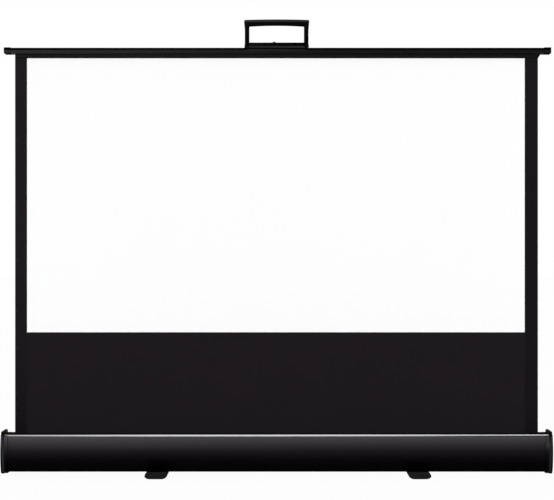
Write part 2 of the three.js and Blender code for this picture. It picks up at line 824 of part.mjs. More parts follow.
// An arm along +X from its toothed hub, teeth on the side that `turn` gives, shifted by
// `toothShift` of a tooth so that the two arms of a pair mesh
function armGeometry(turn, toothShift, layer) {
  const half = armWidth / 2;
  const waistAngle = Math.asin(half / gearRoot);
  const toothPitch = 2 * Math.PI / gearTeethRound;
  const firstTooth = Math.PI - erectAngle - toothPitch * (1 + toothShift);
  const teeth = Array.from({ length: gearSectorTeeth }, (_, index) =>
    toothPoints(firstTooth + index * toothPitch)).flat();
  const outline = [
    ...arcPoints([armLength, 0], half, -quarterTurn, quarterTurn, smallRoundSides / 2),
    ...arcPoints([0, 0], gearRoot, waistAngle, firstTooth - toothPitch / 2, bendSteps),
    ...teeth,
    ...arcPoints(
      [0, 0],
      gearRoot,
      firstTooth + (gearSectorTeeth - 1 / 2) * toothPitch,
      2 * Math.PI - waistAngle,
      bendSteps,
    ),
  ];
  const placed = turn > 0 ? outline : outline.map(([u, v]) => [u, -v]).reverse();
  const holes = [circle([0, 0], armPinRadius + seatGap), circle([armLength, 0], armPinRadius + seatGap)];
  return alongY(placed, layer.front, layer.back, holes);
}

function makeArms() {
  for (const [name, side] of sides) {
    const lowerTurn = side;
    const toothShift = side > 0 ? 0 : 1 / 2;
    const pointingAngle = side > 0 ? erectAngle : Math.PI - erectAngle;

    const lower = assembly(side * gearPitchRadius, 0, lowerPivotZ);
    lower.rotation.y = -pointingAngle;
    const lowerArm = armGeometry(lowerTurn, toothShift, lowerLayer);
    add(lower, `lower_${name}_arm`, lowerArm, blackOxide);

    const upper = assembly(side * gearPitchRadius, 0, upperPivotZ);
    upper.rotation.y = pointingAngle;
    const upperArm = armGeometry(-lowerTurn, toothShift, upperLayer);
    add(upper, `upper_${name}_arm`, upperArm, blackOxide);

    const knee = assembly(side * kneeX, 0, kneeZ);
    const pinStart = lowerLayer.front - seatGap;
    const pinEnd = upperLayer.back + seatGap + armPinHead;
    const kneePin = headed(armPinRadius, armPinHeadRadius, armPinHead, pinStart, pinEnd, axisY);
    add(knee, `${name}_knee_pin`, kneePin, zincSteel);
    const washerFront = (lowerLayer.back + upperLayer.front - washerThickness) / 2;
    const washer = tube(
      armPinRadius + seatGap, washerRadius, washerFront, washerFront + washerThickness, axisY);
    add(knee, `${name}_knee_washer`, washer, nylon);
    const clipBack = pinEnd + seatGap;
    const clip = tube(
      armPinRadius + seatGap, armPinHeadRadius, upperLayer.back + seatGap, clipBack - seatGap, axisY);
    add(knee, `${name}_knee_clip`, clip, springSteel);
  }
}

// Brackets

// A plate with a flange on the side that `flangeSide` gives, and bosses that reach the arms
function bracketGeometry(flangeZ, flangeSide, bossFront) {
  const half = bracketWidth / 2;
  const flangeHalf = bracketFlangeLength / 2;
  const far = -flangeSide * bracketMargin;
  const plate = block(-half, half, bracketY, bracketBackY, Math.min(flangeZ, far), Math.max(flangeZ, far));
  const flangeInner = flangeZ - flangeSide * bracketFlangeThickness;
  const flange = block(
    -flangeHalf,
    flangeHalf,
    bracketY,
    bracketY + bracketFlangeDepth,
    Math.min(flangeZ, flangeInner),
    Math.max(flangeZ, flangeInner),
  );
  const bosses = sides.map(([, side]) =>
    rod(bracketBossRadius, bossFront, bracketBackY, axisY).translate(side * gearPitchRadius, 0, 0));
  const pinHoles = sides.map(([, side]) =>
    rod(armPinRadius + seatGap, bossFront - cutOverrun, bracketBackY + cutOverrun, axisY)
      .translate(side * gearPitchRadius, 0, 0));
  const screwHoles = sides.map(([, side]) =>
    rod(
      bracketScrewRadius + seatGap,
      Math.min(flangeZ, flangeInner) - cutOverrun,
      Math.max(flangeZ, flangeInner) + cutOverrun,
      axisZ,
    ).translate(side * bracketScrewX, bracketScrewY, 0));
  return cut(joined(plate, flange, ...bosses), ...pinHoles, ...screwHoles);
}

function makeBracket(name, pivotZ, flangeZ, flangeSide, layer, screwReach) {
  const bracket = assembly(0, 0, pivotZ);
  const flangeRise = flangeZ - pivotZ;
  const bossFront = layer.back + seatGap;
  const plate = bracketGeometry(flangeRise, flangeSide, bossFront);
  add(bracket, `${name}_bracket`, plate, blackOxide);
  for (const [sideName, side] of sides) {
    const pinStart = layer.front - seatGap;
    const pin = headed(armPinRadius, armPinHeadRadius, armPinHead, pinStart, bracketBackY, axisY);
    add(bracket, `${name}_${sideName}_pin`, pin.translate(side * gearPitchRadius, 0, 0), zincSteel);
    const headSeat = flangeRise - flangeSide * (bracketFlangeThickness + seatGap);
    const screwEnd = flangeRise + flangeSide * screwReach;
    const screw = headed(
      bracketScrewRadius, bracketScrewHeadRadius, bracketScrewHead, headSeat, screwEnd, axisZ);
    screw.translate(side * bracketScrewX, bracketScrewY, 0);
    add(bracket, `${name}_${sideName}_screw`, screw, zincSteel);
  }
}

// Feet

function makeFoot(name, footX) {
  const foot = assembly(footX, 0, 0);
  const half = footLength / 2;
  const section = [
    [-footSoleWidth / 2, footSoleHeight],
    [footSoleWidth / 2, footSoleHeight],
    ...bulgePoints(
      [footSoleWidth / 2, footSoleHeight],
      [footWidestWidth / 2, footWidestHeight],
      footEdgeBulge,
      bendSteps,
    ).slice(1),
    [footTopWidth / 2, footHeight],
    [-footTopWidth / 2, footHeight],
    ...bulgePoints(
      [-footWidestWidth / 2, footWidestHeight],
      [-footSoleWidth / 2, footSoleHeight],
      footEdgeBulge,
      bendSteps,
    ).slice(0, -1),
  ];
  const plan = roundedRectangle(-footWidestWidth / 2, footWidestWidth / 2, -half, half, footEndRadius);
  const body = common(alongY(section, -half, half), alongZ(plan, -cutOverrun, footHeight + cutOverrun));
  const boltHole = rod(footBoltRadius + seatGap, -cutOverrun, footHeight + cutOverrun, axisZ);
  const headTop = footSoleHeight + footBoltHeadRise + footBoltHeadHeight;
  const headSpace = rod(footBoltHeadRadius + runningGap, -cutOverrun, headTop + seatGap, axisZ);
  const padPlaces = [['front', -1], ['rear', 1]].map(([place, end]) =>
    [place, end * (half - padEndInset - padLength / 2)]);
  const pockets = padPlaces.map(([, y]) => block(
    -padWidth / 2 - seatGap,
    padWidth / 2 + seatGap,
    y - padLength / 2 - seatGap,
    y + padLength / 2 + seatGap,
    -cutOverrun,
    footSoleHeight + padSink,
  ));
  add(foot, `${name}_foot`, cut(body, boltHole, headSpace, ...pockets), blackPlastic);
  for (const [place, y] of padPlaces) {
    const pad = block(
      -padWidth / 2,
      padWidth / 2,
      y - padLength / 2,
      y + padLength / 2,
      0,
      footSoleHeight + padSink - seatGap,
    );
    add(foot, `${name}_foot_${place}_pad`, pad, rubber);
  }
  const boltEnd = casingFloor + seatGap + footNutHeight;
  const bolt = headed(footBoltRadius, footBoltHeadRadius, footBoltHeadHeight, headTop, boltEnd, axisZ);
  add(foot, `${name}_foot_bolt`, bolt, zincSteel);
  const nut = alongZ(
    circle([0, 0], footNutRadius, nutSides),
    casingFloor + seatGap,
    boltEnd,
    [circle([0, 0], footBoltRadius + seatGap, roundSides)],
  );
  add(foot, `${name}_foot_nut`, nut, zincSteel);
}

makeCasing();
makeTrim();
for (const [name, side] of sides) {
  makeEndCap(name, side);
}
makeRoller();
makeFabric();
makeTopBar();
makeHandle();
makeArms();
makeBracket('lower', lowerPivotZ, lowerBracketBottom, -1, lowerLayer, casingWall);
makeBracket('upper', upperPivotZ, barBottom - seatGap, 1, upperLayer, barWall + seatGap);
makeFoot('left', leftFootX);
makeFoot('right', rightFootX);

export default group;
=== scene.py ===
"""A portable pull-up projection screen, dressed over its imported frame."""

import json
import math

import bmesh
import bpy
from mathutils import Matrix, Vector


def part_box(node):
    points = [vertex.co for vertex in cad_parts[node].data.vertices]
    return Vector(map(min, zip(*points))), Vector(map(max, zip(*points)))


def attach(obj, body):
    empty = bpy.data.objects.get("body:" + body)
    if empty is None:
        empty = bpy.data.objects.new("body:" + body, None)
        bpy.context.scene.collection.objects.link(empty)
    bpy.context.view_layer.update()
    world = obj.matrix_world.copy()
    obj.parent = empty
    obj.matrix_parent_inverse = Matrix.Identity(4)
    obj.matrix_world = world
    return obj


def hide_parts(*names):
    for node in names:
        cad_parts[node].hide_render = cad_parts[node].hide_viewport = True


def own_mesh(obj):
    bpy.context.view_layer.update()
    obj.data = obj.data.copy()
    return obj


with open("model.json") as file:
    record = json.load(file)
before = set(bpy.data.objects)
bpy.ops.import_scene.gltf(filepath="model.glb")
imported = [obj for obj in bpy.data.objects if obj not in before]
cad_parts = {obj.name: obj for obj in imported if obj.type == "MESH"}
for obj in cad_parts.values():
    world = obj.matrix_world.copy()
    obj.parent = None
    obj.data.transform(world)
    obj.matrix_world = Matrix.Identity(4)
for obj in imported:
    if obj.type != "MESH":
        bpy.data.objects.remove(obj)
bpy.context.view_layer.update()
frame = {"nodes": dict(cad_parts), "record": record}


# ---- Camera ----
# It stands level with the middle of the screen, 5 m in front of the fabric, and looks straight
# at it. One pixel of the picture, which is 554 wide and 500 high, covers 2.04 mm there.
def placed(name, data):
    """A new object, linked to the scene."""
    made = bpy.data.objects.new(name, data)
    bpy.context.collection.objects.link(made)
    return made


view_distance = 5.0
view_height = 0.4598
view_side = 0.0007
pixels_across = 554
metres_per_pixel = 0.00204
camera_data = bpy.data.cameras.new("camera")
camera_data.sensor_fit = "HORIZONTAL"
camera_data.lens = camera_data.sensor_width * view_distance / (metres_per_pixel * pixels_across)
camera_data.clip_end = 100
camera = placed("camera", camera_data)
camera.location = (view_side, -view_distance, view_height)
camera.rotation_euler = (math.radians(90), 0, 0)
bpy.context.scene.camera = camera
bpy.context.scene.view_settings.view_transform = "Standard"


# ---- Floor and light ----
# The screen stands on a wide, pale studio floor under a white sky. A broad soft light in front
# and a little to the left does most of the work, and a weaker one behind lights the arms.
class Shade:
    """One output of a shader node. Arithmetic on it adds Math nodes."""

    def __init__(self, finish, socket):
        self.finish = finish
        self.socket = socket

    def worked(self, operation, first, second):
        return self.finish.node("ShaderNodeMath", {"operation": operation}, {0: first, 1: second})

    def __add__(self, other):
        return self.worked("ADD", self, other)

    def __sub__(self, other):
        return self.worked("SUBTRACT", self, other)

    def __rsub__(self, other):
        return self.worked("SUBTRACT", other, self)

    def __mul__(self, other):
        return self.worked("MULTIPLY", self, other)

    __radd__ = __add__
    __rmul__ = __mul__


class Finish:
    """A tree of shader nodes. Every node that is added comes from node()."""

    def __init__(self, tree):
        self.tree = tree

    def node(self, kind, settings=None, inputs=None, output=0):
        """A new node: its type, its settings or ramp stops, then its sockets' values or links."""
        made = self.tree.nodes.new(kind)
        for name, value in (settings or {}).items():
            if name == "stops":
                while len(made.color_ramp.elements) < len(value):
                    made.color_ramp.elements.new(1)
                for element, (place, colour) in zip(made.color_ramp.elements, value):
                    element.position = place
                    element.color = (*colour, 1)
            else:
                setattr(made, name, value)
        for name, value in (inputs or {}).items():
            self.feed(made.inputs[name], value)
        return Shade(self, made.outputs[output])

    def feed(self, socket, value):
        """Links a shade to a socket, or sets the socket to a number, a colour or a vector."""
        if isinstance(value, Shade):
            self.tree.links.new(value.socket, socket)
        elif socket.type == "RGBA" and len(value) == 3:
            socket.default_value = (*value, 1)
        else:
            socket.default_value = value

    def place(self, scale=(1, 1, 1)):
        """The point on the piece, in metres, times a scale along each axis."""
        point = self.node("ShaderNodeTexCoord", output="Object")
        return self.node("ShaderNodeVectorMath", {"operation": "MULTIPLY"}, {0: point, 1: scale})

    def axis(self, letter):
        """A coordinate of the point on the piece, in metres."""
        return self.node("ShaderNodeSeparateXYZ", {}, {0: self.place()}, letter)

    def off_centre(self):
        """How far the point lies from the middle, to the left or the right, in metres."""
        return self.node("ShaderNodeMath", {"operation": "ABSOLUTE"}, {0: self.axis("X")})

    def climb(self, value, start, end):
        """A value's rise from 0 at the start to 1 at the end."""
        return self.node("ShaderNodeMapRange", {},
                         {"Value": value, "From Min": start, "From Max": end})

    def mottle(self, scale, detail=3, stretch=(1, 1, 1)):
        """Cloudy noise from 0 to 1, with so many clouds to the metre."""
        inputs = {"Vector": self.place(stretch), "Scale": scale, "Detail": detail}
        return self.node("ShaderNodeTexNoise", {}, inputs, "Fac")

    def blended(self, share, first, second):
        """A colour part of the way from the first to the second."""
        return self.node("ShaderNodeMix", {"data_type": "RGBA"}, {0: share, 6: first, 7: second}, 2)

    def scaled(self, colour, factor):
        """A colour made so many times as light."""
        return self.node("ShaderNodeVectorMath", {"operation": "SCALE"},
                         {0: colour, "Scale": factor})

    def relief(self, height, depth):
        """The normal of a surface that rises by so many metres where the height is 1."""
        return self.node("ShaderNodeBump", {}, {"Height": height, "Distance": depth}, "Normal")


def seen_directly(finish):
    """1 for what the camera sees, straight or in a mirror or through glass, and 0 for light."""
    rays = [finish.node("ShaderNodeLightPath", output=f"Is {kind} Ray")
            for kind in ("Camera", "Glossy", "Transmission")]
    sight = rays[0] + rays[1] + rays[2]
    return finish.node("ShaderNodeClamp", {}, {0: sight})


white_seen = (1.0, 1.0, 1.0)
sky_light = (0.52, 0.52, 0.53)
world = bpy.data.worlds.new("white_sky")
bpy.context.scene.world = world
world.use_nodes = True
sky = Finish(world.node_tree)
sky_shade = sky.blended(seen_directly(sky), sky_light, white_seen)
sky.feed(world.node_tree.nodes["Background"].inputs["Color"], sky_shade)

floor_colour = (0.9, 0.9, 0.9)
floor_shadow_share = 0.05
floor_reach = 40.0
floor_corners = [(-1, -1), (1, -1), (1, 1), (-1, 1)]
floor_mesh = bpy.data.meshes.new("floor")
floor_mesh.from_pydata([(x * floor_reach, y * floor_reach, 0) for x, y in floor_corners], [],
                       [(0, 1, 2, 3)])
floor = placed("floor", floor_mesh)
floor_material = bpy.data.materials.new("pale_floor")
floor_material.use_nodes = True
floor_nodes = floor_material.node_tree.nodes
floor_nodes.remove(floor_nodes["Principled BSDF"])
paint = Finish(floor_material.node_tree)
floor_matt = paint.node("ShaderNodeBsdfDiffuse", {}, {"Color": floor_colour})
floor_glow = paint.node("ShaderNodeEmission", {}, {"Color": white_seen, "Strength": 1.0})
glow_share = seen_directly(paint) * (1 - floor_shadow_share)
floor_shade = paint.node("ShaderNodeMixShader", {}, {0: glow_share, 1: floor_matt, 2: floor_glow})
paint.feed(floor_nodes["Material Output"].inputs["Surface"], floor_shade)
floor_mesh.materials.append(floor_material)


def soft_sun(name, strength, width, height, turn):
    """A far lamp. Its width, height in the sky and turn clockwise from the front are in degrees."""
    data = bpy.data.lights.new(name, "SUN")
    data.energy = strength
    data.angle = math.radians(width)
    lamp = placed(name, data)
    lamp.rotation_euler = (math.radians(90 - height), 0, math.radians(-turn))


soft_sun("front_lamp", strength=1.38, width=18, height=20, turn=14)
soft_sun("rear_lamp", strength=0.45, width=60, height=62, turn=195)


# ---- Feet ----
# Two moulded black feet, each held by a bolt through the casing's floor and turning about it.
# Rubber pads sit in pockets in the sole. The edges of every moulding are slightly rounded.
def solid_finish(name, build, **constants):
    """A material whose build function returns what varies over the surface."""
    material = bpy.data.materials.new(name)
    material.use_nodes = True
    shader = material.node_tree.nodes["Principled BSDF"]
    finish = Finish(material.node_tree)
    for socket, value in constants.items():
        finish.feed(shader.inputs[socket.replace("_", " ")], value)
    for socket, value in build(finish).items():
        finish.feed(shader.inputs[socket.replace("_", " ")], value)
    return material


body_of_node = {node: body for body, nodes in frame["record"]["behaviour"]["bodies"].items()
                for node in nodes}


def dressed(name, mesh, node):
    """A finished piece that stands for a CAD node: same body."""
    piece = placed(name, mesh)
    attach(piece, body_of_node[node])
    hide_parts(node)
    return piece


def settled(draft):
    """The mesh of a draft with its modifiers applied. The draft is removed."""
    bpy.context.view_layer.update()
    graph = bpy.context.evaluated_depsgraph_get()
    mesh = bpy.data.meshes.new_from_object(draft.evaluated_get(graph))
    bpy.data.objects.remove(draft)
    return mesh


def smoothed(mesh):
    """Shades a mesh smooth except across its sharp edges."""
    sharp_angle = 35
    mesh.shade_smooth()
    mesh.set_sharp_from_angle(angle=math.radians(sharp_angle))


def tool(outlines, face_point, outward, right, depth):
    """A solid to cut with: outlines round a point of a face, sunk into the face by a depth."""
    up = outward.cross(right)
    points, faces = [], []
    proud = 0.002
    for outline in outlines:
        first, count = len(points), len(outline)
        for level in (proud, -depth):
            points += [face_point + right * u + up * v + outward * level for u, v in outline]
        top = list(range(first, first + count))
        faces += [top, [index + count for index in reversed(top)]]
        faces += [(a, a + count, b + count, b) for a, b in zip(top, top[1:] + top[:1])]
    mesh = bpy.data.meshes.new("tool")
    mesh.from_pydata(points, [], faces)
    return mesh


def rounded(node, material, radius, segments=2, tools=()):
    """The CAD piece, cut by tools, with its sharp edges rounded over, as its own mesh."""
    weld_distance = 1e-6
    flat_angle, bevel_angle = 0.5, 30
    shape = bmesh.new()
    shape.from_mesh(frame["nodes"][node].data)
    bmesh.ops.remove_doubles(shape, verts=shape.verts, dist=weld_distance)
    bmesh.ops.dissolve_limit(shape, angle_limit=math.radians(flat_angle), verts=shape.verts,
                             edges=shape.edges)
    mesh = bpy.data.meshes.new("draft")
    shape.to_mesh(mesh)
    shape.free()
    mesh.materials.clear()
    mesh.materials.append(material)
    draft = placed("draft", mesh)
    cutters = [placed("cutter", solid) for solid in tools]
    for cutter in cutters:
        cut = draft.modifiers.new("cut", "BOOLEAN")
        cut.operation = "DIFFERENCE"
        cut.solver = "EXACT"
        cut.object = cutter
    bevel = draft.modifiers.new("edges", "BEVEL")
    bevel.width = radius
    bevel.segments = segments
    bevel.limit_method = "ANGLE"
    bevel.angle_limit = math.radians(bevel_angle)
    bevel.use_clamp_overlap = True
    final = settled(draft)
    for cutter in cutters:
        bpy.data.objects.remove(cutter)
    smoothed(final)
    return dressed(f"{node}_made", final, node)


def groove_shape(half_length, half_width, place):
    """The outline of a straight groove, at a place across the face."""
    return [(u * half_length, place + v * half_width)
            for u, v in ((-1, -1), (1, -1), (1, 1), (-1, 1))]


def ring_shape(radius, sides):
    """A regular outline with so many sides."""
    angles = [2 * math.pi * side / sides for side in range(sides)]
    return [(radius * math.cos(angle), radius * math.sin(angle)) for angle in angles]


def cross_shape(reach, half_width):
    """The outline of a screwdriver's cross."""
    corner = [(reach, -half_width), (reach, half_width), (half_width, half_width)]
    outline = []
    for turn in range(4):
        outline += corner
        corner = [(-v, u) for u, v in corner]
    return outline


def corners_of(node):
    """The lowest and the highest corner of a CAD piece's box."""
    return [Vector(corner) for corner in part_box(node)]


def on_face(node, outward):
    """The middle of the side of a piece's box that faces along an axis."""
    low, high = corners_of(node)
    half = (high - low) / 2
    return (low + high) / 2 + Vector([half[axis] * outward[axis] for axis in range(3)])


def moulded(finish):
    """The fine grain of a moulding, without its colour."""
    grain = finish.mottle(2200, 4)
    return {"Roughness": 0.48 + 0.16 * grain, "Normal": finish.relief(grain, 0.00006)}


def black_rubber(finish):
    speckle = finish.mottle(3000, 5)
    colour = finish.blended(speckle, (0.008, 0.008, 0.008), (0.02, 0.02, 0.02))
    return {"Base Color": colour, "Roughness": 0.8 + 0.15 * speckle,
            "Normal": finish.relief(speckle, 0.00004)}


def bright_zinc(finish):
    cloud = finish.mottle(140, 2)
    scratch = finish.mottle(900, 3, (1, 1, 0.06))
    colour = finish.blended(cloud, (0.38, 0.39, 0.42), (0.52, 0.52, 0.53))
    return {"Base Color": colour, "Roughness": 0.26 + 0.2 * scratch,
            "Normal": finish.relief(scratch, 0.00001)}


def foot_black(finish):
    """Black plastic, lighter on top with painted light that ends short of the front."""
    made = moulded(finish)
    colour = finish.blended(finish.mottle(60), (0.0092, 0.0085, 0.0092), (0.0126, 0.0116, 0.0126))
    on_top = finish.climb(finish.axis("Z"), 0.009, 0.0097)
    behind_tip = finish.climb(finish.axis("Y"), -0.09, -0.075)
    # painted light on the top behind the tip, where the casing shades it
    made["Base Color"] = finish.scaled(colour, 0.86 + 1.5 * on_top * behind_tip)
    return made


foot_plastic = solid_finish("foot_plastic", foot_black, Specular_IOR_Level=0.0,
                            Coat_Weight=0.05, Coat_Roughness=0.35)
pad_rubber = solid_finish("pad_rubber", black_rubber, Specular_IOR_Level=0.1)
zinc_plate = solid_finish("zinc_plate", bright_zinc, Metallic=1.0)

foot_edge = 0.0008
pad_edge = 0.0002
bolt_edge = 0.0003
pad_groove_depth = 0.0006
pad_groove_reach, pad_groove_half, pad_groove_pitch = 0.02, 0.0006, 0.005
pad_grooves = [groove_shape(pad_groove_reach, pad_groove_half, pad_groove_pitch * count)
               for count in range(-2, 3)]
key_radius, key_depth = 0.0036, 0.0018
down, along_x = Vector((0, 0, -1)), Vector((1, 0, 0))
for side in ("left", "right"):
    rounded(f"{side}_foot", foot_plastic, foot_edge, segments=3)
    for end in ("front", "rear"):
        pad = f"{side}_foot_{end}_pad"
        grip = tool(pad_grooves, on_face(pad, down), down, along_x, pad_groove_depth)
        rounded(pad, pad_rubber, pad_edge, tools=[grip])
    bolt = f"{side}_foot_bolt"
    key = tool([ring_shape(key_radius, sides=6)], on_face(bolt, down), down, along_x, key_depth)
    rounded(bolt, zinc_plate, bolt_edge, tools=[key])
    rounded(f"{side}_foot_nut", zinc_plate, bolt_edge)


# ---- Casing ----
# Two aluminium extrusions closed round the roller: a front shell with a curved face in deep
# black enamel, and a satin rear channel with a bay for the folded arms. A bright metal strip is
# let into the shell's upper front edge.
def casing_painted_shading(finish):
    """Painted shading: deep black below, climbing to a painted highlight under the upper edge and
    dark again at the top, a little lighter at the left and darker at the far right.
    """
    casing_bottom, casing_top = 0.0102, 0.086
    share = finish.climb(finish.axis("Z"), casing_bottom, casing_top)
    # painted shading for light from above: dark low down, a painted highlight under the upper edge
    tones = finish.node("ShaderNodeValToRGB", {"stops": [
        (0.0, (0.0002, 0.0001, 0.0002)),
        (0.1, (0.0007, 0.0003, 0.0007)),
        (0.26, (0.0014, 0.0008, 0.0014)),
        (0.37, (0.0031, 0.0023, 0.0031)),
        (0.47, (0.0061, 0.005, 0.0061)),
        (0.55, (0.0093, 0.0078, 0.0093)),
        (0.605, (0.0126, 0.0108, 0.0126)),
        (0.635, (0.0164, 0.0144, 0.0164)),
        (0.715, (0.0236, 0.021, 0.0236)),
        (0.795, (0.0362, 0.033, 0.0362)),
        (0.875, (0.0478, 0.0438, 0.0478)),
        (0.93, (0.064, 0.0588, 0.064)),
        (0.952, (0.048, 0.0445, 0.048)),
        (0.965, (0.003, 0.0027, 0.003)),
    ]}, {0: share}, "Color")
    # painted light at the left end towards the lamp, painted shade at the far right end
    near_lamp = finish.climb(finish.axis("X"), -0.1, -0.54)
    far_end = finish.climb(finish.axis("X"), 0.45, 0.55)
    return finish.scaled(tones, 1 + 0.13 * near_lamp - 0.08 * far_end)


def gloss_enamel(finish):
    """Black enamel with a faint orange peel, in the casing's painted shading."""
    dust = finish.mottle(30, 4)
    peel = finish.mottle(450, 2)
    return {"Base Color": casing_painted_shading(finish), "Roughness": 0.2 + 0.12 * dust,
            "Normal": finish.relief(peel, 0.000004)}


def brushed(finish):
    """The fine lines along an extrusion, without its colour."""
    lines = finish.mottle(1200, 3, (0.01, 1, 1))
    return {"Roughness": 0.38 + 0.18 * lines, "Normal": finish.relief(lines, 0.00001)}


def satin_black(finish):
    made = brushed(finish)
    cloud = finish.mottle(14, 3)
    made["Base Color"] = finish.blended(cloud, (0.0074, 0.0068, 0.0074), (0.0108, 0.01, 0.0108))
    return made


def satin_channel(finish):
    """Satin black, with a sheen on the walls and none on the dusty top."""
    made = satin_black(finish)
    made["Coat Weight"] = 0.45 - 0.42 * finish.climb(finish.axis("Z"), 0.083, 0.085)
    return made


def bright_anodised(finish):
    """Bright metal, with painted shade on its upper edge at the left and its lower edge at the
    right.
    """
    lines = finish.mottle(2000, 3, (0.01, 1, 1))
    upper_edge = finish.climb(finish.axis("Z"), 0.084, 0.0853)
    lower_edge = finish.climb(finish.axis("Z"), 0.0842, 0.083)
    leftwards = finish.climb(finish.axis("X"), -0.25, -0.52)
    left_end = finish.climb(finish.axis("X"), -0.44, -0.54)
    rightwards = finish.climb(finish.axis("X"), -0.05, 0.5)
    far_right = finish.climb(finish.axis("X"), 0.28, 0.52)
    right_end = finish.climb(finish.axis("X"), 0.49, 0.53)
    # painted shade where the strip's highlight falls off towards its ends
    upper_edge_shade = leftwards + 0.35 * right_end
    middle_shade = 0.14 * left_end + 0.5 * far_right
    lower_edge_shade = 0.5 * leftwards + 0.9 * rightwards
    painted_shade = upper_edge_shade * upper_edge + lower_edge_shade * lower_edge + middle_shade * (1 - upper_edge)
    # a painted highlight on the upper edge right of the middle
    lighter = finish.climb(finish.axis("X"), -0.05, 0.1) * upper_edge
    metal = finish.blended(lines, (0.7, 0.685, 0.7), (0.73, 0.715, 0.73))
    colour = finish.blended(painted_shade, finish.scaled(metal, 1 + 0.45 * lighter), (0.02, 0.02, 0.02))
    return {"Base Color": colour, "Roughness": 0.34 + 0.03 * lines}


front_enamel = solid_finish("front_enamel", gloss_enamel, Specular_IOR_Level=0.0,
                            Coat_Weight=0.03, Coat_Roughness=0.4)
rear_satin = solid_finish("rear_satin", satin_channel, Specular_IOR_Level=0.0,
                          Coat_Roughness=0.3)
trim_bright = solid_finish("trim_bright", bright_anodised, Metallic=0.5)

shell_edge = 0.0005
trim_edge = 0.0003
backwards = Vector((0, 1, 0))
groove_reach, groove_half, groove_depth, groove_pitch = 0.6, 0.0006, 0.0005, 0.0028


def grooved(node, outward, first, count):
    """A tool that cuts grooves along an extrusion, as many on each side of its middle."""
    places = [side * (first + groove_pitch * number) for side in (-1, 1) for number in range(count)]
    outlines = [groove_shape(groove_reach, groove_half, place) for place in places]
    return tool(outlines, on_face(node, outward), outward, along_x, groove_depth)


channel_tool = grooved("casing_rear_channel", backwards, first=0.024, count=3)
rounded("casing_front_shell", front_enamel, shell_edge)
rounded("casing_rear_channel", rear_satin, shell_edge, tools=[channel_tool])
rounded("slot_trim", trim_bright, trim_edge)


# ---- End caps ----
# A moulded cap closes each end of the casing. Its collar slides over the extrusions, its raised
# rim carries the closed top bar, and two countersunk screws hold it.
def gloss_plastic(finish):
    """The casing's painted shading, with a painted highlight on the raised rim that fades towards
    its crest.
    """
    outward = finish.off_centre()
    rim = finish.climb(outward, 0.5512, 0.552) * (1 - finish.climb(outward, 0.5552, 0.556))
    height = finish.axis("Z")
    below_crest = 1 - finish.climb(height, 0.0835, 0.085)
    upper_part = finish.climb(height, 0.05, 0.08)
    # a painted highlight on the raised rim, fading towards the crest
    rim_painted_highlight = finish.scaled((0.0205, 0.0196, 0.0205), 1.05 - 0.55 * upper_part)
    cap_black = finish.blended(rim * below_crest, casing_painted_shading(finish), rim_painted_highlight)
    # painted light on the cap near the lamp, painted shade on the far one
    away_from_lamp = finish.climb(finish.axis("X"), -0.5, 0.5)
    grain = finish.mottle(1800, 3)
    return {"Base Color": finish.scaled(cap_black, 1.07 - 0.26 * away_from_lamp),
            "Roughness": 0.34 + 0.14 * grain,
            "Normal": finish.relief(grain, 0.00003)}


cap_plastic = solid_finish("cap_plastic", gloss_plastic, Specular_IOR_Level=0.0,
                           Coat_Weight=0.04, Coat_Roughness=0.25)
cap_edge = 0.0006
cross_reach, cross_half, cross_depth = 0.0019, 0.00035, 0.0011
driver_cross = [cross_shape(cross_reach, cross_half)]
for side, outward in (("left", -along_x), ("right", along_x)):
    rounded(f"{side}_end_cap", cap_plastic, cap_edge)
    for end in ("front", "rear"):
        screw = f"{side}_cap_{end}_screw"
        driver = tool(driver_cross, on_face(screw, outward), outward, backwards, cross_depth)
        rounded(screw, zinc_plate, bolt_edge, tools=[driver])


# ---- Roller ----
# An aluminium tube turns on two nylon plugs. Inside its left end a long coil spring works
# between a fixed collar and a carrier that turns with the tube, and the tube pulls the screen in.
def mill_aluminium(finish):
    lines = finish.mottle(1500, 3, (0.008, 1, 1))
    colour = finish.blended(lines, (0.5, 0.5, 0.51), (0.6, 0.6, 0.61))
    return {"Base Color": colour, "Roughness": 0.3 + 0.2 * lines,
            "Normal": finish.relief(lines, 0.00001)}


def natural_nylon(finish):
    cloud = finish.mottle(90, 3)
    colour = finish.blended(cloud, (0.66, 0.64, 0.57), (0.74, 0.72, 0.66))
    return {"Base Color": colour, "Roughness": 0.42 + 0.12 * cloud,
            "Normal": finish.relief(finish.mottle(1500, 3), 0.00003)}


def oiled_spring(finish):
    cloud = finish.mottle(220, 3)
    colour = finish.blended(cloud, (0.2, 0.2, 0.21), (0.3, 0.3, 0.3))
    return {"Base Color": colour, "Roughness": 0.24 + 0.16 * cloud,
            "Normal": finish.relief(cloud, 0.00001)}


tube_metal = solid_finish("tube_metal", mill_aluminium, Metallic=1.0)
plug_nylon = solid_finish("plug_nylon", natural_nylon)
spring_wire = solid_finish("spring_wire", oiled_spring, Metallic=1.0)
turned_edge = 0.0003
rounded("roller_tube", tube_metal, turned_edge)
for node in ("roller_spring_plug", "roller_idle_plug", "spring_carrier"):
    rounded(node, plug_nylon, turned_edge)
for node in ("spring_shaft", "idle_pin", "spring_collar"):
    rounded(node, zinc_plate, turned_edge)


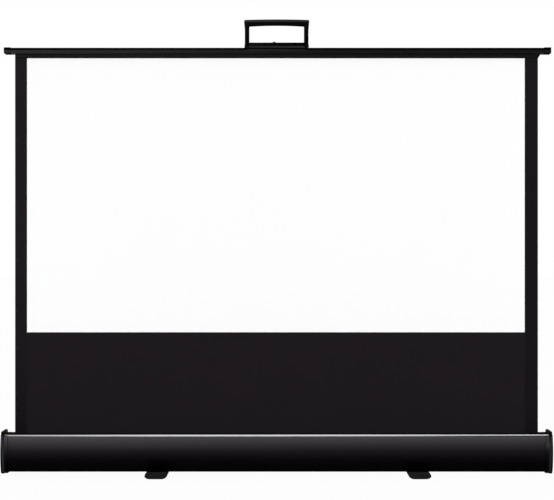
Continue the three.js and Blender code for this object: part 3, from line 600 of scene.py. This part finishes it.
def coiled(node, length_axis, coil_radius, wire, turns):
    """A round wire wound in a coil that fills the CAD coil's length."""
    low, high = corners_of(node)
    centre = (low + high) / 2
    start = low[length_axis] + wire / 2
    end = high[length_axis] - wire / 2
    steps_per_turn = 28
    curve = bpy.data.curves.new(f"{node}_made", "CURVE")
    curve.dimensions = "3D"
    curve.bevel_depth = wire / 2
    curve.bevel_resolution = 3
    curve.use_fill_caps = True
    line = curve.splines.new("POLY")
    count = int(turns * steps_per_turn) + 1
    line.points.add(count - 1)
    for index in range(count):
        share = index / (count - 1)
        angle = 2 * math.pi * turns * share
        across = coil_radius * math.cos(angle)
        up = coil_radius * math.sin(angle)
        along = start + (end - start) * share
        if length_axis == 0:
            line.points[index].co = (along, centre.y + across, centre.z + up, 1)
        else:
            line.points[index].co = (centre.x + across, centre.y + up, along, 1)
    mesh = settled(placed("draft", curve))
    mesh.materials.clear()
    mesh.materials.append(spring_wire)
    mesh.shade_smooth()
    return dressed(f"{node}_made", mesh, node)


coiled("roller_spring", length_axis=0, coil_radius=0.0075, wire=0.002, turns=16)


# ---- Screen ----
# One sheet of coated cloth, 0.4 mm thick: matt white in front with printed black borders and a
# black drop, and black behind. The roller below and the clamp under the top bar keep it taut.
def woven(finish):
    """The height of a plain weave, from 0 to 1."""
    thread_pitch = 0.0007
    scale = 2 * math.pi / 20 / thread_pitch
    threads = [finish.node("ShaderNodeTexWave", {"bands_direction": axis},
                           {"Vector": finish.place(), "Scale": scale}, "Fac")
               for axis in ("X", "Z")]
    return threads[0] * threads[1]


def projection_white(finish):
    weave = woven(finish)
    cloud = finish.mottle(5, 2)
    colour = finish.blended(cloud, (0.975, 0.975, 0.975), (0.985, 0.985, 0.985))
    return {"Base Color": colour, "Roughness": 0.82 + 0.1 * cloud,
            "Normal": finish.relief(weave, 0.000004)}


def printed_black(low, high, upper_left=0, upper_right=0, foot=0):
    """Black cloth, greyer by given shares of painted light in its upper corners and above the
    casing.
    """
    # the grey of the painted light
    grey = (0.2, 0.18, 0.2)

    def build(finish):
        weave = woven(finish)
        cloud = finish.mottle(9, 3)
        colour = finish.blended(cloud, low, high)
        height = finish.axis("Z")
        # painted light at the upper left, towards the lamp, and in the upper right corner
        if upper_left:
            upper = finish.climb(height, 0.1, 0.47)
            left = finish.climb(finish.axis("X"), 0.8, -0.5)
            corner = finish.climb(height, 0.55, 0.86) * finish.climb(finish.axis("X"), 0.0, 0.5)
            lighter = upper * left * upper_left + corner * upper_right
            colour = finish.blended(lighter, colour, grey)
        # painted light just above the casing, where the casing shades the cloth
        if foot:
            lowest = finish.climb(height, 0.118, 0.088)
            colour = finish.blended(lowest * foot, colour, grey)
        return {"Base Color": colour,
                "Roughness": 0.78 + 0.12 * weave,
                "Normal": finish.relief(weave, 0.00002)}
    return build


white_face = solid_finish("white_face", projection_white, Specular_IOR_Level=0.02)
border_face = solid_finish("border_face", printed_black((0.0072, 0.0059, 0.0072),
                                                        (0.0092, 0.0076, 0.0092),
                                                        upper_left=0.024, upper_right=0.01),
                           Specular_IOR_Level=0.02)
drop_face = solid_finish("drop_face", printed_black((0.0109, 0.009, 0.0109),
                                                    (0.0129, 0.0105, 0.0129), foot=0.014),
                         Specular_IOR_Level=0.02)
back_face = solid_finish("back_face", printed_black((0.012, 0.011, 0.012), (0.018, 0.016, 0.018)),
                         Specular_IOR_Level=0.08)

sheet_low, sheet_high = corners_of("screen_fabric")
cloth_thickness = 0.0004
left_overhang = 0.0006
sheet_left, sheet_right = sheet_low.x - left_overhang, sheet_high.x
white_left, white_right = -0.5092, 0.506
white_bottom, white_top = 0.292, 0.8509
flare_from, flare = 0.8505, 0.0058  # the right edge runs outward just under the clamp
curl_from, curl = 0.46, 0.0009  # the sides bend back
mesh_step = 0.02
picture, border, drop, reverse = range(4)


def cuts(edges, step):
    """Places from the first edge to the last, about a step apart, with every edge kept."""
    places = [edges[0]]
    for start, end in zip(edges, edges[1:]):
        count = max(1, round((end - start) / step))
        places += [start + (end - start) * (index + 1) / count for index in range(count)]
    return places


columns = cuts([sheet_left, white_left, white_right, sheet_right], mesh_step)
rows = cuts([sheet_low.z, white_bottom, flare_from, white_top, sheet_high.z], mesh_step)
sheet = bmesh.new()
layers = []
for depth in (0.0, cloth_thickness):
    layer = []
    for z in rows:
        share = (z - sheet_low.z) / (sheet_high.z - sheet_low.z)
        sway = curl * math.sin(math.pi * share)
        line = []
        flared = max(0.0, z - flare_from) / (sheet_high.z - flare_from) * flare
        for x in columns:
            edge = max(0.0, (abs(x) - curl_from) / (sheet_right - curl_from))
            spread = flared if x == columns[-1] else 0
            line.append(sheet.verts.new((x + spread, sheet_low.y + depth + sway * edge ** 2, z)))
        layer.append(line)
    layers.append(layer)
front, back = layers
for row in range(len(rows) - 1):
    for column in range(len(columns) - 1):
        x = (columns[column] + columns[column + 1]) / 2
        z = (rows[row] + rows[row + 1]) / 2
        corners = [(row, column), (row, column + 1), (row + 1, column + 1), (row + 1, column)]
        face = sheet.faces.new([front[r][c] for r, c in corners])
        if white_left < x < white_right and z < white_top:
            face.material_index = drop if z < white_bottom else picture
        else:
            face.material_index = border
        sheet.faces.new([back[r][c] for r, c in reversed(corners)]).material_index = reverse
last_row, last_column = len(rows) - 1, len(columns) - 1
for row in range(last_row):
    sheet.faces.new([front[row + 1][0], back[row + 1][0], back[row][0], front[row][0]])
    sheet.faces.new([front[row][last_column], back[row][last_column],
                     back[row + 1][last_column], front[row + 1][last_column]])
for column in range(last_column):
    sheet.faces.new([front[0][column], back[0][column], back[0][column + 1], front[0][column + 1]])
    sheet.faces.new([front[last_row][column + 1], back[last_row][column + 1],
                     back[last_row][column], front[last_row][column]])
bmesh.ops.recalc_face_normals(sheet, faces=sheet.faces)
for face in sheet.faces:
    if abs(face.normal.y) < 0.5:
        face.material_index = reverse
sheet_mesh = bpy.data.meshes.new("picture_sheet")
sheet.to_mesh(sheet_mesh)
sheet.free()
for material in (white_face, border_face, drop_face, back_face):
    sheet_mesh.materials.append(material)
smoothed(sheet_mesh)
picture_sheet = dressed("picture_sheet", sheet_mesh, "screen_fabric")
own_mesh(picture_sheet)


# ---- Wound cloth ----
# The lower end of the same cloth, which stays on the roller when the screen is up. It is wound
# in three turns, each half a millimetre outside the last.
roll_low, roll_high = corners_of("wound_fabric")
roll_centre = (roll_low + roll_high) / 2
roll_outer = (roll_high.z - roll_low.z) / 2
roll_turns = 3
turn_rise = 0.0005
roll_steps = 48
spiral = []
for index in range(roll_turns * roll_steps + 1):
    angle = 2 * math.pi * index / roll_steps
    radius = roll_outer - cloth_thickness / 2 - turn_rise * (roll_turns - index / roll_steps)
    spiral.append((radius, angle))
roll = bmesh.new()
rings = []
for depth in (-cloth_thickness / 2, cloth_thickness / 2):
    for x in (roll_low.x, roll_high.x):
        rings.append([roll.verts.new((x, roll_centre.y + (radius + depth) * math.cos(angle),
                                      roll_centre.z + (radius + depth) * math.sin(angle)))
                      for radius, angle in spiral])
inner_left, inner_right, outer_left, outer_right = rings
for here in range(len(spiral) - 1):
    then = here + 1
    roll.faces.new([outer_left[here], outer_right[here], outer_right[then], outer_left[then]])
    roll.faces.new([inner_left[then], inner_right[then], inner_right[here], inner_left[here]])
    roll.faces.new([inner_left[here], outer_left[here], outer_left[then], inner_left[then]])
    roll.faces.new([inner_right[then], outer_right[then], outer_right[here], inner_right[here]])
for end in (0, len(spiral) - 1):
    roll.faces.new([inner_left[end], inner_right[end], outer_right[end], outer_left[end]])
bmesh.ops.recalc_face_normals(roll, faces=roll.faces)
roll_mesh = bpy.data.meshes.new("wound_cloth")
roll.to_mesh(roll_mesh)
roll.free()
roll_mesh.materials.append(back_face)
smoothed(roll_mesh)
wound_cloth = dressed("wound_cloth", roll_mesh, "wound_fabric")


# ---- Brackets and arms ----
# Steel in black oxide. A bracket at each end carries two pins, and the two arms on them mesh by
# toothed hubs. The arms of each side join at a knee with a pin, a nylon washer and a clip.
def black_oxide(finish):
    cloud = finish.mottle(45, 4)
    lines = finish.mottle(1400, 3)
    colour = finish.blended(cloud, (0.035, 0.035, 0.038), (0.06, 0.06, 0.066))
    return {"Base Color": colour, "Roughness": 0.36 + 0.2 * cloud,
            "Normal": finish.relief(lines, 0.00001)}


def channel_shape(start, end, half_width):
    """The outline of a long channel with round ends."""
    steps = 8
    bends = [(end, -math.pi / 2), (start, math.pi / 2)]
    return [(centre + half_width * math.cos(first + math.pi * step / steps),
             half_width * math.sin(first + math.pi * step / steps))
            for centre, first in bends for step in range(steps + 1)]


arm_steel = solid_finish("arm_steel", black_oxide, Metallic=0.9)
plate_edge = 0.0004
press_half, press_depth = 0.0032, 0.0008
hub_margin, knee_margin = 0.034, 0.026
for end, head_side in (("lower", -down), ("upper", down)):
    rounded(f"{end}_bracket", arm_steel, plate_edge)
    for side in ("left", "right"):
        arm, pin, screw = (f"{end}_{side}_{kind}" for kind in ("arm", "pin", "screw"))
        hub, knee = (on_face(piece, backwards) for piece in (pin, f"{side}_knee_pin"))
        hub.y = knee.y = on_face(arm, backwards).y
        channel = channel_shape(hub_margin, (knee - hub).length - knee_margin, press_half)
        press = tool([channel], hub, backwards, (knee - hub).normalized(), press_depth)
        rounded(arm, arm_steel, plate_edge, tools=[press])
        rounded(pin, zinc_plate, turned_edge)
        driver = tool(driver_cross, on_face(screw, head_side), head_side, along_x, cross_depth)
        rounded(screw, zinc_plate, turned_edge, tools=[driver])
for side in ("left", "right"):
    rounded(f"{side}_knee_pin", zinc_plate, turned_edge)
    rounded(f"{side}_knee_washer", plug_nylon, turned_edge / 2)
    rounded(f"{side}_knee_clip", spring_wire, turned_edge)


# ---- Top bar ----
# A flat aluminium extrusion in satin black with a moulded cap at each end. A strip under its
# front clamps the cloth's top edge.
# the colour of painted shade over the bar's top and under its end caps
bar_painted_shade = (0.0012, 0.001, 0.0012)


def bar_underside(finish):
    """1 on the bar's underside and 0 above it."""
    return 1 - finish.climb(finish.axis("Z"), 0.8606, 0.8612)


def bar_black(finish):
    """Satin black: painted light at the left and on the underside, painted shade at the right and
    on top.
    """
    made = brushed(finish)
    height = finish.axis("Z")
    away_from_lamp = finish.climb(finish.axis("X"), -0.56, 0.05)
    past_base = finish.climb(finish.off_centre(), 0.054, 0.062)
    top_edge = finish.climb(height - 0.002 * (1 - past_base), 0.8662, 0.867)
    flat_top = finish.climb(height, 0.8712, 0.8715)
    # painted light at the left towards the lamp and painted shade at the right
    face = finish.blended(away_from_lamp, (0.0226, 0.0212, 0.0226), (0.0067, 0.0058, 0.0067))
    # painted light on the underside, where the bar shades itself
    lit_face = finish.scaled(face, 1 + 0.9 * bar_underside(finish))
    # painted shade over the top from its upper edge
    made["Base Color"] = finish.blended(top_edge, lit_face, bar_painted_shade)
    made["Coat Weight"] = 0.09 - 0.08 * top_edge * (1 - flat_top)
    return made


def bar_end_black(finish):
    """The bar's black, with painted shade on an underside that also reflects less of the floor."""
    made = bar_black(finish)
    underside = bar_underside(finish)
    made["Base Color"] = finish.blended(underside, made["Base Color"], bar_painted_shade)
    made["Coat Weight"] = made["Coat Weight"] * (1 - 0.9 * underside)
    return made


bar_satin = solid_finish("bar_satin", bar_black, Specular_IOR_Level=0.0, Coat_Roughness=0.35)
bar_end_satin = solid_finish("bar_end_satin", bar_end_black, Specular_IOR_Level=0.0,
                             Coat_Roughness=0.35)
strip_satin = solid_finish("strip_satin", satin_black, Specular_IOR_Level=0.0,
                           Coat_Weight=0.045, Coat_Roughness=0.4)
upwards = Vector((0, 0, 1))
bar_tool = grooved("top_bar", upwards, first=0.014, count=2)
rounded("top_bar", bar_satin, shell_edge, tools=[bar_tool])
rounded("fabric_clamp", strip_satin, trim_edge)
for side in ("left", "right"):
    rounded(f"top_bar_{side}_cap", bar_end_satin, cap_edge)


# ---- Carry handle ----
# A moulded handle that folds back on two steel pins. The base between its legs is fixed on the
# bar, and the small button in it is pushed up by a coil spring.
def handle_black(finish):
    """Black plastic, greyer in a band low down, with a painted highlight along the top of the grip.
    """
    made = moulded(finish)
    height = finish.climb(finish.axis("Z"), 0.868, 0.932)
    tones = finish.node("ShaderNodeValToRGB", {"stops": [
        (0.0, (0.0008, 0.0006, 0.0008)),
        (0.04, (0.0008, 0.0006, 0.0008)),
        (0.055, (0.019, 0.0175, 0.019)),
        (0.1, (0.019, 0.0175, 0.019)),
        (0.135, (0.0005, 0.0004, 0.0005)),
        (0.892, (0.0005, 0.0004, 0.0005)),
        # painted highlight along the top of the grip
        (0.9, (0.021, 0.0195, 0.021)),
    ]}, {0: height}, "Color")
    made["Base Color"] = tones
    return made


def base_black(finish):
    """The handle's black, lighter towards the right."""
    made = handle_black(finish)
    rightwards = finish.climb(finish.axis("X"), -0.055, 0.055)
    made["Base Color"] = finish.scaled(made["Base Color"], 1.2 + 0.75 * rightwards)
    return made


handle_plastic = solid_finish("handle_plastic", handle_black, Specular_IOR_Level=0.0,
                              Coat_Weight=0.045, Coat_Roughness=0.3)
base_plastic = solid_finish("base_plastic", base_black, Specular_IOR_Level=0.0,
                            Coat_Weight=0.018, Coat_Roughness=0.3)
handle_round = 0.0018
rounded("carry_handle", handle_plastic, handle_round, segments=4)
rounded("handle_base", base_plastic, cap_edge)
rounded("latch_button", handle_plastic, turned_edge)
for side in ("left", "right"):
    rounded(f"handle_{side}_pin", zinc_plate, turned_edge)
button_spring = coiled("button_spring", length_axis=2, coil_radius=0.0034, wire=0.0006, turns=4)
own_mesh(button_spring)
